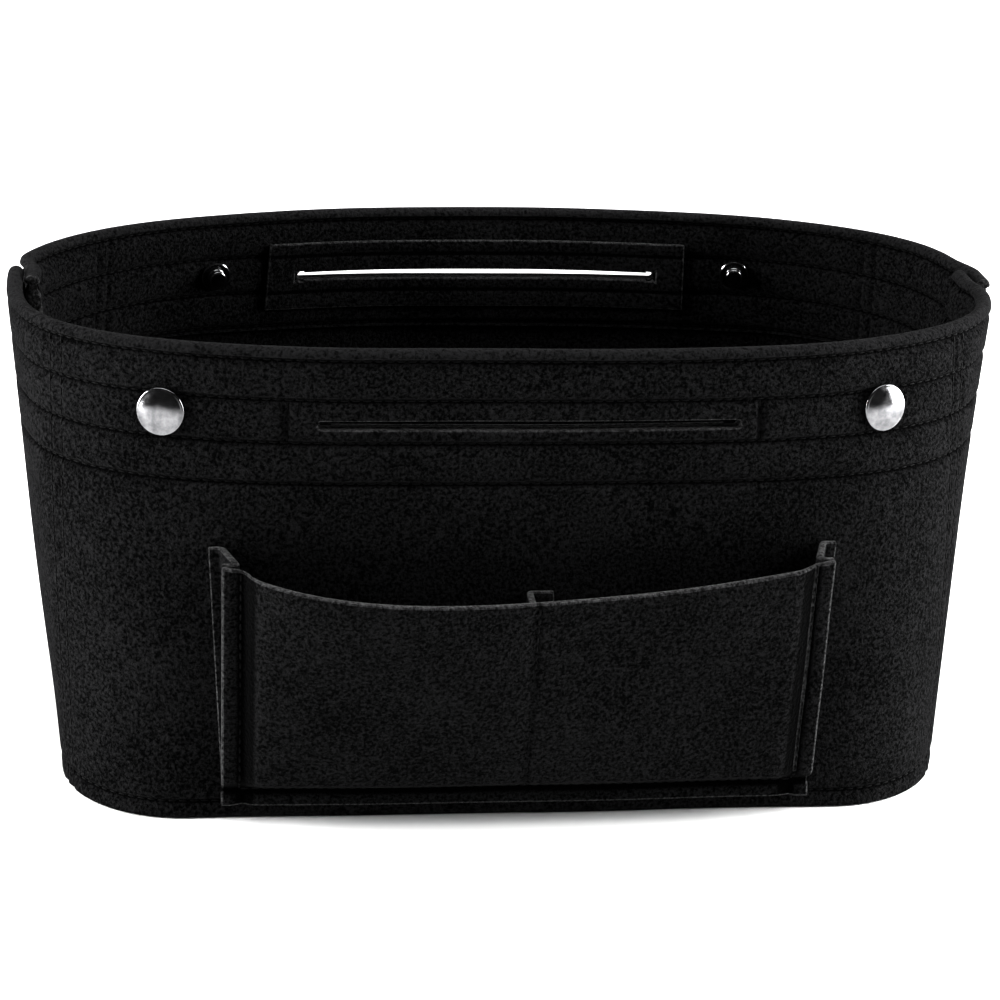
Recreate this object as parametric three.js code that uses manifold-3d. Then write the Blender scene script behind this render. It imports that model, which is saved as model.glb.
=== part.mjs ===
// Organizer insert for a handbag: an open tub of black felt with a turned-in hem, a box
// pocket on its front, slip pockets inside, two hand slots and four snap fasteners.
// Millimetres. X runs along the tub, -Y is the front and Z is up.
// The origin is the centre of the base's underside.

import * as THREE from 'three';
import { mergeVertices } from 'three/addons/utils/BufferGeometryUtils.js';
import Module from 'manifold-3d';

const wasm = await Module();
wasm.setup();

// Felt and seams
const feltThickness = 2.4;
const seatGap = 0.3;
const hemDepth = 41;
const lapWidth = 12;
const lapReleaseLength = 14;

// Tub
const tubHeight = 142.4;
const rimHalfWidth = 150;
const rimHalfDepth = 80;
const baseHalfWidth = 134.5;
const baseHalfDepth = 83;
const baseCornerRadius = 38;
const baseLipHeight = 9;
const rimFrontLeftPowerShare = 3.1;
const rimFrontRightPowerShare = 2.7;
const rimBackLeftPowerShare = 2.15;
const rimBackRightPowerShare = 2.6;
const endBowShare = 0.0095;
const seamStandout = 3;

// Hand slots, one in each long wall
const slotLength = 121;
const slotWidth = 2.4;
const slotDrop = 22;
const slotPatchMargin = 10.5;
const slotPatchHeight = 23;
const slotPatchThickness = 1.4;

// Slip pockets inside the long walls
const slipDrop = 50.4;
const slipSeamFromEnd = 58;
const slipOpening = 12.5;
const slipFrontCellCount = 4;
const slipBackCellCount = 3;

// Box pocket on the front
const pocketHalfWidth = 87.4;
const pocketBottomHeight = 4.5;
const pocketTopHeight = 84.5;
const pocketSeamWidth = 5.3;
const pocketStandoff = 15.5;
const pocketPuff = 2.6;
const pocketPuffWidth = 5;
const pocketBulge = 11;
const pocketScoop = 7.5;
const pocketDividerOffset = 1;
const pocketWebFelt = 2;
const pocketWebFlange = 3.8;
const pocketWebSpread = 3.6;
const pocketDividerFlange = 7;
const pocketDividerDrop = 6;

// Snap fasteners
const snapDrop = 20;
const snapFrontHalfSpacing = 104;
const snapBackHalfSpacing = 88;
const snapSeatDepth = 0.4;
const capRadius = 7;
const capRise = 2.3;
const capEdgeHeight = 0.8;
const postRadius = 1.6;
const postFlareRadius = 2.2;
const postFlareHeight = 0.7;
const socketRadius = 5.9;
const socketHeight = 3.3;
const socketPlate = 0.8;
const socketChamberRadius = 3.7;
const socketMouthRadius = 3;
const socketLip = 0.5;
const springWireRadius = 0.3;
const studFlangeRadius = 4.9;
const studFlangeThickness = 0.8;
const studNeckRadius = 2.5;
const studHeadRadius = 2.9;
const studHeight = 3.6;
const studShell = 0.5;

// Fineness of the faceted surfaces
const wallColumnCount = 40;
const wallRowCount = 5;
const rimStepCount = 4;
const panelColumnCount = 18;
const panelRowCount = 6;
const webRowCount = 7;
const domeStepCount = 4;
const snapSideCount = 20;
const springSideCount = 5;
const arcLengthStepCount = 800;
const cutterOverrun = 30;
const probeStep = 0.5;
const weldLength = 0.01;
const pointSize = 3;
const faceSize = 3;

const feltColour = new THREE.Color(0.028, 0.028, 0.03);
const innerFeltColour = new THREE.Color(0.022, 0.022, 0.024);
const patchColour = new THREE.Color(0.03, 0.03, 0.032);
const steelColour = new THREE.Color(0.72, 0.72, 0.74);

const feltFinish = { color: feltColour, roughness: 0.95, metalness: 0 };
const innerFeltFinish = { color: innerFeltColour, roughness: 0.95, metalness: 0 };
const patchFinish = { color: patchColour, roughness: 0.9, metalness: 0 };
const steelFinish = { color: steelColour, roughness: 0.18, metalness: 1 };

const hemThickness = feltThickness + feltThickness;
const hemEdgeHeight = tubHeight - hemDepth;
const slotHeight = tubHeight - slotDrop;
const slotPatchLength = slotLength + 2 * slotPatchMargin;
const slipTopHeight = tubHeight - slipDrop;
const snapHeight = tubHeight - snapDrop;

function span(start, end, count) {
  return Array.from({ length: count + 1 }, (_, step) => THREE.MathUtils.lerp(start, end, step / count));
}

// One half of the rim seen from above, from one end of the tub to the other. It stands a
// little squarer at one end than at the other.
class RimHalf extends THREE.Curve {
  constructor(startPowerShare, endPowerShare, side) {
    super();
    this.startPowerShare = startPowerShare;
    this.endPowerShare = endPowerShare;
    this.side = side;
    this.arcLengthDivisions = arcLengthStepCount;
  }

  getPoint(t, target = new THREE.Vector2()) {
    const along = Math.cos(Math.PI * t);
    const across = Math.max(Math.sin(Math.PI * t), 0);
    const power = 2 / (along > 0 ? this.startPowerShare : this.endPowerShare);
    const x = Math.sign(along) * Math.abs(along) ** power * rimHalfWidth;
    const y = across ** power * rimHalfDepth;
    return target.set(x, y).multiplyScalar(-this.side);
  }
}

// The same half of the base: straight sides joined by round corners.
function baseHalf(side) {
  const cornerX = baseHalfWidth - baseCornerRadius;
  const cornerY = baseHalfDepth - baseCornerRadius;
  const turn = side > 0 ? 0 : Math.PI;
  const quarter = Math.PI / 2;
  const path = new THREE.Path();
  path.arcLengthDivisions = arcLengthStepCount;
  path.moveTo(-side * baseHalfWidth, 0);
  path.lineTo(-side * baseHalfWidth, -side * cornerY);
  path.absarc(-side * cornerX, -side * cornerY, baseCornerRadius, turn + Math.PI, turn + Math.PI + quarter);
  path.lineTo(side * cornerX, -side * baseHalfDepth);
  path.absarc(side * cornerX, -side * cornerY, baseCornerRadius, turn - quarter, turn);
  path.lineTo(side * baseHalfWidth, 0);
  return path;
}

const halves = [
  { rim: new RimHalf(rimFrontLeftPowerShare, rimFrontRightPowerShare, 1), base: baseHalf(1) },
  { rim: new RimHalf(rimBackRightPowerShare, rimBackLeftPowerShare, -1), base: baseHalf(-1) },
];

// A station runs 0 to 1 along the front from left to right, and 1 to 2 back along the rear.
// Between the base and the rim the wall bows out a little at the tub's ends, and the right
// end's lapped seam stands out of the rim's curve.
function curvePoint(station, z) {
  const wrapped = (station + halves.length) % halves.length;
  const half = halves[Math.floor(wrapped)];
  const share = wrapped % 1;
  const rise = z / tubHeight;
  const { x, y } = half.base.getPointAt(share).lerp(half.rim.getPointAt(share), rise);
  const bow = 1 + endBowShare * Math.sin(Math.PI * rise);
  const standout = x > 0 ? seamStandout * rise * lapAmountShare(station) : 0;
  return new THREE.Vector3(x * bow + standout, y, z);
}

const endToEndLength = halves[0].rim.getLength();
const probeShare = probeStep / endToEndLength;

// How near a station is to the middle of a lapped side seam, from 0 well clear of it to 1.
const lapHalfShare = lapWidth / 2 / endToEndLength;
const lapReleaseShare = lapReleaseLength / endToEndLength;

function lapAmountShare(station) {
  const fromEnd = Math.abs(station - Math.round(station));
  return 1 - THREE.MathUtils.smoothstep(fromEnd, lapHalfShare, lapHalfShare + lapReleaseShare);
}

function cornerPoint(corner, inset, z) {
  const station = corner / wallColumnCount;
  const along = curvePoint(station + probeShare, z).sub(curvePoint(station - probeShare, z));
  const outward = new THREE.Vector3(along.y, -along.x, 0).normalize();
  return curvePoint(station, z).addScaledVector(outward, -inset);
}

// A point in the wall, inset from its outer face. The wall is flat between its columns, and
// everything that lies on it follows the same flats.
function insetPoint(station, inset, z) {
  const corner = Math.floor(station * wallColumnCount);
  const share = station * wallColumnCount - corner;
  return cornerPoint(corner, inset, z).lerp(cornerPoint(corner + 1, inset, z), share);
}

function outerPoint(station, z) {
  return insetPoint(station, 0, z);
}

// The wall's columns between two stations, with the two stations themselves.
function columnsBetween(start, end) {
  const corners = span(0, halves.length, halves.length * wallColumnCount);
  const apart = probeShare / 2;
  return [start, ...corners.filter((station) => station > start + apart && station < end - apart), end];
}

// The station at which a wall passes a given X, found by halving.
function stationAt(wall, x, z) {
  let low = wall;
  let high = wall + 1;
  const rising = wall === 0;
  for (let step = 0; step < wallColumnCount; step += 1) {
    const middle = (low + high) / 2;
    if ((outerPoint(middle, z).x < x) === rising) {
      low = middle;
    } else {
      high = middle;
    }
  }
  return (low + high) / 2;
}

function frontFaceY(x, z) {
  return outerPoint(stationAt(0, x, z), z).y;
}

function signedVolume(positions, index) {
  const [a, b, c] = [new THREE.Vector3(), new THREE.Vector3(), new THREE.Vector3()];
  let total = 0;
  for (let corner = 0; corner < index.length; corner += faceSize) {
    a.fromArray(positions, pointSize * index[corner]);
    b.fromArray(positions, pointSize * index[corner + 1]);
    c.fromArray(positions, pointSize * index[corner + 2]);
    total += a.dot(b.cross(c)) / 6;
  }
  return total;
}

// The flat end of a loft, filled by rungs from each point of its loop to the opposite one.
function capFaces(count) {
  const faces = [];
  for (let step = 0; 2 * step < count - 2; step += 1) {
    const opposite = count - 1 - step;
    faces.push([step, step + 1, opposite]);
    if (step + 1 < opposite - 1) {
      faces.push([step + 1, opposite - 1, opposite]);
    }
  }
  return faces;
}

// A solid through a row of closed loops with equal numbers of points, capped at both ends.
function loft(loops) {
  const count = loops[0].length;
  const last = (loops.length - 1) * count;
  const positions = loops.flat().flatMap((point) => point.toArray());
  const index = [];
  for (let start = 0; start < last; start += count) {
    for (let step = 0; step < count; step += 1) {
      const a = start + step;
      const b = start + ((step + 1) % count);
      index.push(a, b, b + count, a, b + count, a + count);
    }
  }
  for (const [a, b, c] of capFaces(count)) {
    index.push(a, c, b);
    index.push(last + a, last + b, last + c);
  }
  if (signedVolume(positions, index) < 0) {
    index.reverse();
  }
  const geometry = new THREE.BufferGeometry();
  geometry.setAttribute('position', new THREE.Float32BufferAttribute(positions, 3));
  geometry.setIndex(index);
  geometry.computeVertexNormals();
  return geometry;
}

function toSolid(geometry) {
  const bare = geometry.clone();
  bare.deleteAttribute('normal');
  bare.deleteAttribute('uv');
  const merged = mergeVertices(bare);
  const vertProperties = merged.attributes.position.array;
  const triVerts = Uint32Array.from(merged.index.array);
  return new wasm.Manifold(new wasm.Mesh({ numProp: 3, vertProperties, triVerts }));
}

// Corners that a cut leaves closer together than the weld length become one.
function welded(vertProperties, triVerts) {
  const kept = [];
  const keptNumbers = [];
  for (let start = 0; start < vertProperties.length; start += pointSize) {
    const corner = new THREE.Vector3().fromArray(vertProperties, start);
    let number = kept.findIndex((other) => other.distanceToSquared(corner) < weldLength * weldLength);
    if (number < 0) {
      number = kept.push(corner) - 1;
    }
    keptNumbers.push(number);
  }
  const index = [];
  for (let start = 0; start < triVerts.length; start += faceSize) {
    const face = [...triVerts.slice(start, start + faceSize)].map((number) => keptNumbers[number]);
    if (new Set(face).size === face.length) {
      index.push(...face);
    }
  }
  return { positions: kept.flatMap((corner) => corner.toArray()), index };
}

function carve(geometry, cutters) {
  let solid = toSolid(geometry);
  for (const cutter of cutters) {
    solid = solid.subtract(toSolid(cutter));
  }
  const { vertProperties, triVerts } = solid.getMesh();
  const { positions, index } = welded(vertProperties, triVerts);
  const carved = new THREE.BufferGeometry();
  carved.setAttribute('position', new THREE.Float32BufferAttribute(positions, 3));
  carved.setIndex(index);
  carved.computeVertexNormals();
  return carved;
}

function named(name, geometry, finish) {
  const mesh = new THREE.Mesh(geometry, new THREE.MeshStandardMaterial(finish));
  mesh.name = name;
  return mesh;
}

// Turned about X, a shape's depth runs along Y, from well outside the tub to its middle.
function slotCutter(length, width, side) {
  const half = (length - width) / 2;
  const radius = width / 2;
  const shape = new THREE.Shape();
  shape.absarc(half, 0, radius, -Math.PI / 2, Math.PI / 2);
  shape.absarc(-half, 0, radius, Math.PI / 2, 3 * Math.PI / 2);
  const depth = rimHalfDepth + cutterOverrun;
  const settings = { depth, bevelEnabled: false, curveSegments: domeStepCount };
  const cutter = new THREE.ExtrudeGeometry(shape, settings);
  cutter.rotateX(side * Math.PI / 2);
  cutter.translate(0, 0, slotHeight);
  return cutter;
}

// Where a snap sits: Z of its frame points straight out of the wall's outer face.
function snapPlace(wall, x) {
  const station = stationAt(wall, x, snapHeight);
  const origin = outerPoint(station, snapHeight);
  const along = outerPoint(station + probeShare, snapHeight).sub(origin).normalize();
  const upward = outerPoint(station, snapHeight + probeStep).sub(origin);
  const out = new THREE.Vector3().crossVectors(along, upward).normalize();
  const up = new THREE.Vector3().crossVectors(out, along);
  const turn = new THREE.Matrix4().makeBasis(along, up, out);
  return { origin, quaternion: new THREE.Quaternion().setFromRotationMatrix(turn) };
}

function placed(geometry, place) {
  geometry.applyQuaternion(place.quaternion);
  geometry.translate(place.origin.x, place.origin.y, place.origin.z);
  return geometry;
}

function turned(points) {
  const profile = points.map(([radius, height]) => new THREE.Vector2(radius, height));
  return new THREE.LatheGeometry(profile, snapSideCount).rotateX(Math.PI / 2);
}

function drum(radius, low, high) {
  return turned([[0, low], [radius, low], [radius, high], [0, high]]);
}

// The felt is pressed down under each half of a snap, and pierced for the post.
function snapCutters(place, innerRadius) {
  const outerSeat = drum(capRadius + seatGap, -snapSeatDepth, cutterOverrun);
  const innerSeat = drum(innerRadius + seatGap, -cutterOverrun, snapSeatDepth - hemThickness);
  const hole = drum(postRadius + seatGap, -hemThickness, 0);
  return [outerSeat, innerSeat, hole].map((cutter) => placed(cutter, place));
}

// At each lapped side seam the far end of one wall is tucked in under the start of the next.
// Under the hem's double felt the tuck is deeper than under the single felt below it.
function tuckDepth(z) {
  const top = hemEdgeHeight - seatGap;
  const deepened = THREE.MathUtils.smoothstep(z, top - lapReleaseLength, top);
  return seatGap + feltThickness + feltThickness * deepened;
}

// The heights at which the wall is faceted below its hem.
function wallRows() {
  return span(0, hemEdgeHeight - seatGap - lapReleaseLength, wallRowCount);
}

// The wall's section, up its outer face, over the folded rim and down inside past the hem's edge.
function wallSection() {
  const tuckTop = hemEdgeHeight - seatGap;
  const rows = wallRows();
  const foldHeight = tubHeight - feltThickness;
  const fold = span(Math.PI, 0, rimStepCount).map((angle) => [
    feltThickness + feltThickness * Math.cos(angle),
    foldHeight + feltThickness * Math.sin(angle),
  ]);
  return [
    ...rows.map((z) => [0, z]),
    [0, tuckTop],
    [0, hemEdgeHeight],
    [0, hemEdgeHeight + feltThickness],
    ...fold,
    [hemThickness, hemEdgeHeight],
    [feltThickness, hemEdgeHeight],
    [feltThickness, tuckTop],
    ...rows.toReversed().map((z) => [feltThickness, z]),
  ];
}

function wallStations(number) {
  const clear = columnsBetween(number, number + 1 - lapHalfShare);
  return [number - lapHalfShare, ...clear, number + 1, number + 1 + lapHalfShare];
}

function wall(number) {
  const section = wallSection();
  const loops = wallStations(number).map((station) => section.map(([inset, z]) => {
    const farEnd = station > number + 1 / 2;
    const tuck = farEnd ? lapAmountShare(station) * tuckDepth(z) : 0;
    return insetPoint(station, inset + tuck, z);
  }));
  return loft(loops);
}

// The base is a tray: its edge is turned up inside the walls and sewn through them.
function basePanel() {
  const clearOfLaps = (end) => columnsBetween(end - 1 + lapHalfShare, end - lapHalfShare);
  const stations = [1, 2].flatMap((end) => [...clearOfLaps(end), end]);
  const clear = feltThickness + seatGap;
  const rows = [
    [clear + feltThickness / 2, 0],
    [clear, feltThickness / 2],
    [clear, baseLipHeight],
    [clear + feltThickness, baseLipHeight],
    [clear + feltThickness, feltThickness],
  ];
  return loft(rows.map(([inset, z]) => stations.map((station) => {
    const tuck = lapAmountShare(station) * (feltThickness + seatGap);
    return insetPoint(station, inset + tuck, z);
  })));
}

// A felt strip behind each slot, sewn to the hem's inner face.
function slotPatch(number, side) {
  const near = hemThickness + seatGap;
  const ends = [-slotPatchLength / 2, slotPatchLength / 2].map((x) => stationAt(number, x, slotHeight));
  const stations = columnsBetween(Math.min(...ends), Math.max(...ends));
  const low = slotHeight - slotPatchHeight / 2;
  const high = slotHeight + slotPatchHeight / 2;
  const loops = stations.map((station) => [
    insetPoint(station, near, low),
    insetPoint(station, near, high),
    insetPoint(station, near + slotPatchThickness, high),
    insetPoint(station, near + slotPatchThickness, low),
  ]);
  return carve(loft(loops), [slotCutter(slotLength, slotWidth, side)]);
}

// A slip pocket is one sheet sewn down its ends, along its foot and between its cells.
// Each cell stands open in a low arch that grows towards the free top edge.
function slipPocket(number, cellCount) {
  const seamShare = slipSeamFromEnd / endToEndLength;
  const bottom = baseLipHeight + seatGap;
  const within = wallRows().filter((z) => z > bottom + feltThickness && z < slipTopHeight);
  const rows = [bottom, ...within, slipTopHeight];
  const cellShare = (1 - 2 * seamShare) / cellCount;
  const seams = span(number + seamShare, number + 1 - seamShare, cellCount);
  const columns = seams.slice(1).flatMap((seam, cell) => columnsBetween(seams[cell], seam).slice(0, -1));
  const near = (cell, z) => {
    const left = 1 - (z - bottom) / (slipTopHeight - bottom);
    const arch = Math.abs(Math.sin(Math.PI * cell));
    return feltThickness + seatGap + slipOpening * arch * (1 - left * left);
  };
  return loft([...columns, seams.at(-1)].map((station) => {
    const cell = (station - seams[0]) / cellShare;
    return [
      ...rows.map((z) => insetPoint(station, near(cell, z), z)),
      ...rows.toReversed().map((z) => insetPoint(station, near(cell, z) + feltThickness, z)),
    ];
  }));
}

// The box pocket's front panel has a flat seam allowance down both sides and along its foot.
// It stands off the wall on its side webs, and puffs out inside the stitching.
const panelSeamX = pocketHalfWidth - pocketSeamWidth;
const panelSeamHeight = pocketBottomHeight + pocketSeamWidth;
const webBottomHeight = panelSeamHeight + pocketPuffWidth;
const webStack = 3 * seatGap + 2 * pocketWebFelt;

function panelTopHeight(x) {
  const across = x / pocketHalfWidth;
  return pocketTopHeight - pocketScoop * (1 - across * across);
}

function panelStandoff(z) {
  const { smoothstep, clamp, lerp } = THREE.MathUtils;
  const start = lerp(seatGap, webStack, smoothstep(z, panelSeamHeight, webBottomHeight));
  const rise = clamp((z - webBottomHeight) / (pocketTopHeight - webBottomHeight), 0, 1);
  return start + (pocketStandoff - webStack) * rise;
}

function panelSwell(x, z) {
  const { smoothstep, clamp } = THREE.MathUtils;
  const side = smoothstep(panelSeamX - Math.abs(x), 0, pocketPuffWidth);
  const foot = smoothstep(z, panelSeamHeight, panelSeamHeight + pocketPuffWidth);
  const across = clamp((x + panelSeamX) / (panelSeamX + panelSeamX), 0, 1);
  const lean = Math.sin(Math.PI * Math.sqrt(across)) ** 2;
  const up = clamp((z - panelSeamHeight) / (pocketTopHeight - panelSeamHeight), 0, 1);
  return foot * (side * pocketPuff + lean * up * pocketBulge);
}

function panelBackY(x, z) {
  return frontFaceY(x, z) - panelStandoff(z) - panelSwell(x, z);
}

function pocketPanel() {
  const inner = panelSeamX - pocketPuffWidth;
  const half = pocketPuffWidth / 2;
  const columns = [
    -pocketHalfWidth,
    -panelSeamX,
    half - panelSeamX,
    ...span(-inner, inner, panelColumnCount),
    panelSeamX - half,
    panelSeamX,
    pocketHalfWidth,
  ];
  const foot = [pocketBottomHeight, panelSeamHeight, panelSeamHeight + half, webBottomHeight];
  const edge = feltThickness / 4;
  return loft(columns.map((x) => {
    const top = panelTopHeight(x);
    const rows = [...foot, ...span(webBottomHeight, top - edge, panelRowCount).slice(1)];
    const back = (z, depth) => new THREE.Vector3(x, panelBackY(x, z) - depth, z);
    return [
      ...rows.map((z) => back(z, 0)),
      back(top, edge),
      back(top, feltThickness - edge),
      ...rows.toReversed().map((z) => back(z, feltThickness)),
    ];
  }));
}

// A strip of even thickness along a bent line, mitred at its bends.
function thickLine(points, thickness, z) {
  const lefts = [];
  const rights = [];
  points.forEach((point, step) => {
    const before = points[Math.max(step - 1, 0)];
    const after = points[Math.min(step + 1, points.length - 1)];
    const arrive = step === 0 ? after.clone().sub(point) : point.clone().sub(before);
    const leave = step === points.length - 1 ? arrive.clone() : after.clone().sub(point);
    const miter = arrive.normalize().add(leave.normalize()).normalize();
    const reach = thickness / 2 / miter.dot(leave);
    const side = new THREE.Vector2(-miter.y, miter.x).multiplyScalar(reach);
    lefts.push(new THREE.Vector3(point.x + side.x, point.y + side.y, z));
    rights.push(new THREE.Vector3(point.x - side.x, point.y - side.y, z));
  });
  return [...lefts, ...rights.toReversed()];
}

// A web joins the wall to the panel: one allowance lies on the wall and one behind the panel.
function web(lines, topHeight) {
  const half = pocketWebFelt / 2;
  return loft(span(webBottomHeight, topHeight, webRowCount).map((z) => {
    const [wallOut, wallRoot, panelRoot, panelOut] = lines(z);
    const onWall = (x) => new THREE.Vector2(x, frontFaceY(wallRoot, z) - seatGap - half);
    const nearest = Math.max(panelBackY(panelRoot, z), panelBackY(panelOut, z));
    const onPanel = (x) => new THREE.Vector2(x, nearest + seatGap + half);
    const line = [onWall(wallOut), onWall(wallRoot), onPanel(panelRoot), onPanel(panelOut)];
    return thickLine(line, pocketWebFelt, z);
  }));
}

function sideWeb(side) {
  const top = pocketTopHeight - seatGap;
  return web((z) => {
    const up = (z - webBottomHeight) / (top - webBottomHeight);
    const wallOut = pocketHalfWidth + pocketWebSpread * up;
    const panelRoot = panelSeamX + pocketWebFelt / 2;
    return [wallOut, wallOut - pocketWebFlange, panelRoot, pocketHalfWidth].map((x) => side * x);
  }, top);
}

function dividerWeb() {
  const root = pocketDividerOffset;
  const lines = [root + pocketDividerFlange, root, root, root - pocketDividerFlange];
  return web(() => lines, panelTopHeight(0) - pocketDividerDrop);
}

// Snap cap: a domed shell with a rolled edge on a hollow post flared inside the other half.
function snapCap(grip) {
  const base = seatGap - snapSeatDepth;
  const dome = span(Math.PI / 2, 0, domeStepCount).map((angle) => [
    capRadius * Math.cos(angle),
    base + capEdgeHeight + (capRise - base - capEdgeHeight) * Math.sin(angle),
  ]);
  const flareTop = -(hemThickness - snapSeatDepth) - seatGap - grip - seatGap;
  const tip = flareTop - postFlareHeight;
  return turned([
    ...dome,
    [capRadius, base],
    [postRadius, base],
    [postRadius, flareTop],
    [postFlareRadius, flareTop],
    [postFlareRadius, tip],
    [0, tip],
  ].toReversed());
}

// Both inner halves start at the felt's inner seat and stand into the tub.
const innerSeatHeight = snapSeatDepth - hemThickness - seatGap;

function snapSocket() {
  const plate = innerSeatHeight - socketPlate;
  const mouth = innerSeatHeight - socketHeight;
  const lip = mouth + socketLip;
  const round = socketLip;
  return turned([
    [postRadius + seatGap, innerSeatHeight],
    [socketRadius, innerSeatHeight],
    [socketRadius, plate],
    [socketRadius - round, plate - round],
    [socketRadius - round - round, mouth],
    [socketMouthRadius, mouth],
    [socketMouthRadius, lip],
    [socketChamberRadius, lip],
    [socketChamberRadius, plate],
    [postRadius + seatGap, plate],
    [postRadius + seatGap, innerSeatHeight],
  ].toReversed());
}

function snapSpring() {
  const height = innerSeatHeight - socketHeight + socketLip + seatGap + springWireRadius;
  const ring = socketChamberRadius - seatGap - springWireRadius;
  const spring = new THREE.TorusGeometry(ring, springWireRadius, springSideCount, snapSideCount);
  return spring.translate(0, 0, height);
}

function snapStud() {
  const flange = innerSeatHeight - studFlangeThickness;
  const crown = innerSeatHeight - studHeight;
  const bulge = studHeadRadius - studNeckRadius;
  const well = crown + studShell;
  return turned([
    [postRadius + seatGap, innerSeatHeight],
    [studFlangeRadius, innerSeatHeight],
    [studFlangeRadius, flange],
    [studNeckRadius, flange],
    [studNeckRadius, flange - bulge],
    [studHeadRadius, crown + bulge + bulge],
    [studHeadRadius, crown + bulge],
    [studNeckRadius, crown],
    [0, crown],
    [0, well],
    [postFlareRadius + seatGap / 2, well],
    [postFlareRadius + seatGap / 2, flange],
    [postRadius + seatGap, flange],
    [postRadius + seatGap, innerSeatHeight],
  ].toReversed());
}

const insert = new THREE.Group();
const snapCuts = [[], []];

function addSnap(name, number, x, innerRadius, grip, innerPieces) {
  const place = snapPlace(number, x);
  snapCuts[number].push(...snapCutters(place, innerRadius));
  const snap = new THREE.Group();
  snap.position.copy(place.origin);
  snap.quaternion.copy(place.quaternion);
  snap.add(named(`${name}_snap_cap`, snapCap(grip), steelFinish));
  for (const [piece, geometry] of innerPieces) {
    snap.add(named(`${name}_snap_${piece}`, geometry, steelFinish));
  }
  insert.add(snap);
}

for (const [sideName, side] of [['left', -1], ['right', 1]]) {
  const socketPieces = [['socket', snapSocket()], ['spring', snapSpring()]];
  const socketX = side * snapFrontHalfSpacing;
  addSnap(`front_${sideName}`, 0, socketX, socketRadius, socketPlate, socketPieces);
  const studPieces = [['stud', snapStud()]];
  const studX = side * snapBackHalfSpacing;
  addSnap(`back_${sideName}`, 1, studX, studFlangeRadius, studFlangeThickness, studPieces);
  insert.add(named(`pocket_web_${sideName}`, sideWeb(side), feltFinish));
}

['front', 'back'].forEach((name, number) => {
  const side = number === 0 ? 1 : -1;
  const cutters = [slotCutter(slotLength, slotWidth, side), ...snapCuts[number]];
  const cellCount = number === 0 ? slipFrontCellCount : slipBackCellCount;
  insert.add(named(`${name}_wall`, carve(wall(number), cutters), feltFinish));
  insert.add(named(`${name}_slot_patch`, slotPatch(number, side), patchFinish));
  insert.add(named(`${name}_slip_pocket`, slipPocket(number, cellCount), innerFeltFinish));
});

insert.add(named('base_panel', basePanel(), innerFeltFinish));
insert.add(named('pocket_panel', pocketPanel(), feltFinish));
insert.add(named('pocket_divider', dividerWeb(), innerFeltFinish));

export default insert;
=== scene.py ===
import math

import bmesh
import bpy
import numpy as np
from mathutils import Matrix, Vector


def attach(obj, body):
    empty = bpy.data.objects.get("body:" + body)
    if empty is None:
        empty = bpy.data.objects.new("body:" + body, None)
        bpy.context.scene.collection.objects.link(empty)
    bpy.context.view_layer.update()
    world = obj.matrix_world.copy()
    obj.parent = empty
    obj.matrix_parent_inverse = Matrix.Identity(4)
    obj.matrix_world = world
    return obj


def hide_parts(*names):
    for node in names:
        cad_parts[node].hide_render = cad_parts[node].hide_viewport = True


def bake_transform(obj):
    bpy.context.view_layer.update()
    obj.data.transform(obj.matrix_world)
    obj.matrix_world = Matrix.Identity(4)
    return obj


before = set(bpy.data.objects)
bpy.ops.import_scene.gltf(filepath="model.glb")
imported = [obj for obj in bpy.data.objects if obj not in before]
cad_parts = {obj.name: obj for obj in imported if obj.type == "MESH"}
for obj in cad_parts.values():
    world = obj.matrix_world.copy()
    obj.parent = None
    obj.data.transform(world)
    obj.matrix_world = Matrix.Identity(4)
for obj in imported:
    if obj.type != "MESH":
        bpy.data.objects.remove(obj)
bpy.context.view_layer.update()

half_names = ("front", "back")


# For every section: a mesh from a bmesh, an object in the scene, a place with its axes.
def mesh_from(name, bm):
    mesh = bpy.data.meshes.new(name)
    bm.to_mesh(mesh)
    bm.free()
    return mesh


def in_scene(name, data):
    made = bpy.data.objects.new(name, data)
    bpy.context.collection.objects.link(made)
    return made


def placing(place, *axes):
    return Matrix.Translation(place) @ Matrix(axes).transposed().to_4x4()


# Camera: in front of the tub, a little to its left and above it, as in the photograph. It has
# a long lens and leans slightly, so that the tub's right end sits lower in the picture.
camera_distance = 0.8522
camera_lens = 96.87
camera_sight = 20
camera_aim = (0.0019, 0.0676)
camera_yaw, camera_drop, camera_lean = (math.radians(turn) for turn in (7.3, 20.8, 2.3))

level = Vector((math.cos(camera_yaw), -math.sin(camera_yaw), 0))
forward = Vector((math.sin(camera_yaw), math.cos(camera_yaw), 0)) * math.cos(camera_drop)
forward.z = -math.sin(camera_drop)
upright = level.cross(forward)
right = level * math.cos(camera_lean) + upright * math.sin(camera_lean)
up = upright * math.cos(camera_lean) - level * math.sin(camera_lean)
aim = level * camera_aim[0] + Vector((0, 0, camera_aim[1]))
camera = in_scene("camera", bpy.data.cameras.new("camera"))
camera.data.lens = camera_lens
camera.data.clip_end = camera_sight
camera.matrix_world = placing(aim - forward * camera_distance, right, up, -forward)
bpy.context.scene.camera = camera


# Finishes: one class wraps a socket, so that shader maths reads as sums, and one makes a
# material and its nodes.
class Signal:
    def __init__(self, finish, socket):
        self.finish = finish
        self.socket = socket

    def math(self, operation, first, second):
        return self.finish.node("ShaderNodeMath", {"operation": operation}, [first, second])

    def away_from(self, other):
        return self.math("ABSOLUTE", self - other, 0)

    def at_least(self, other):
        return self.math("MAXIMUM", self, other)

    def at_most(self, other):
        return self.math("MINIMUM", self, other)

    def __add__(self, other):
        return self.math("ADD", self, other)

    def __sub__(self, other):
        return self.math("SUBTRACT", self, other)

    def __mul__(self, other):
        return self.math("MULTIPLY", self, other)


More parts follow.
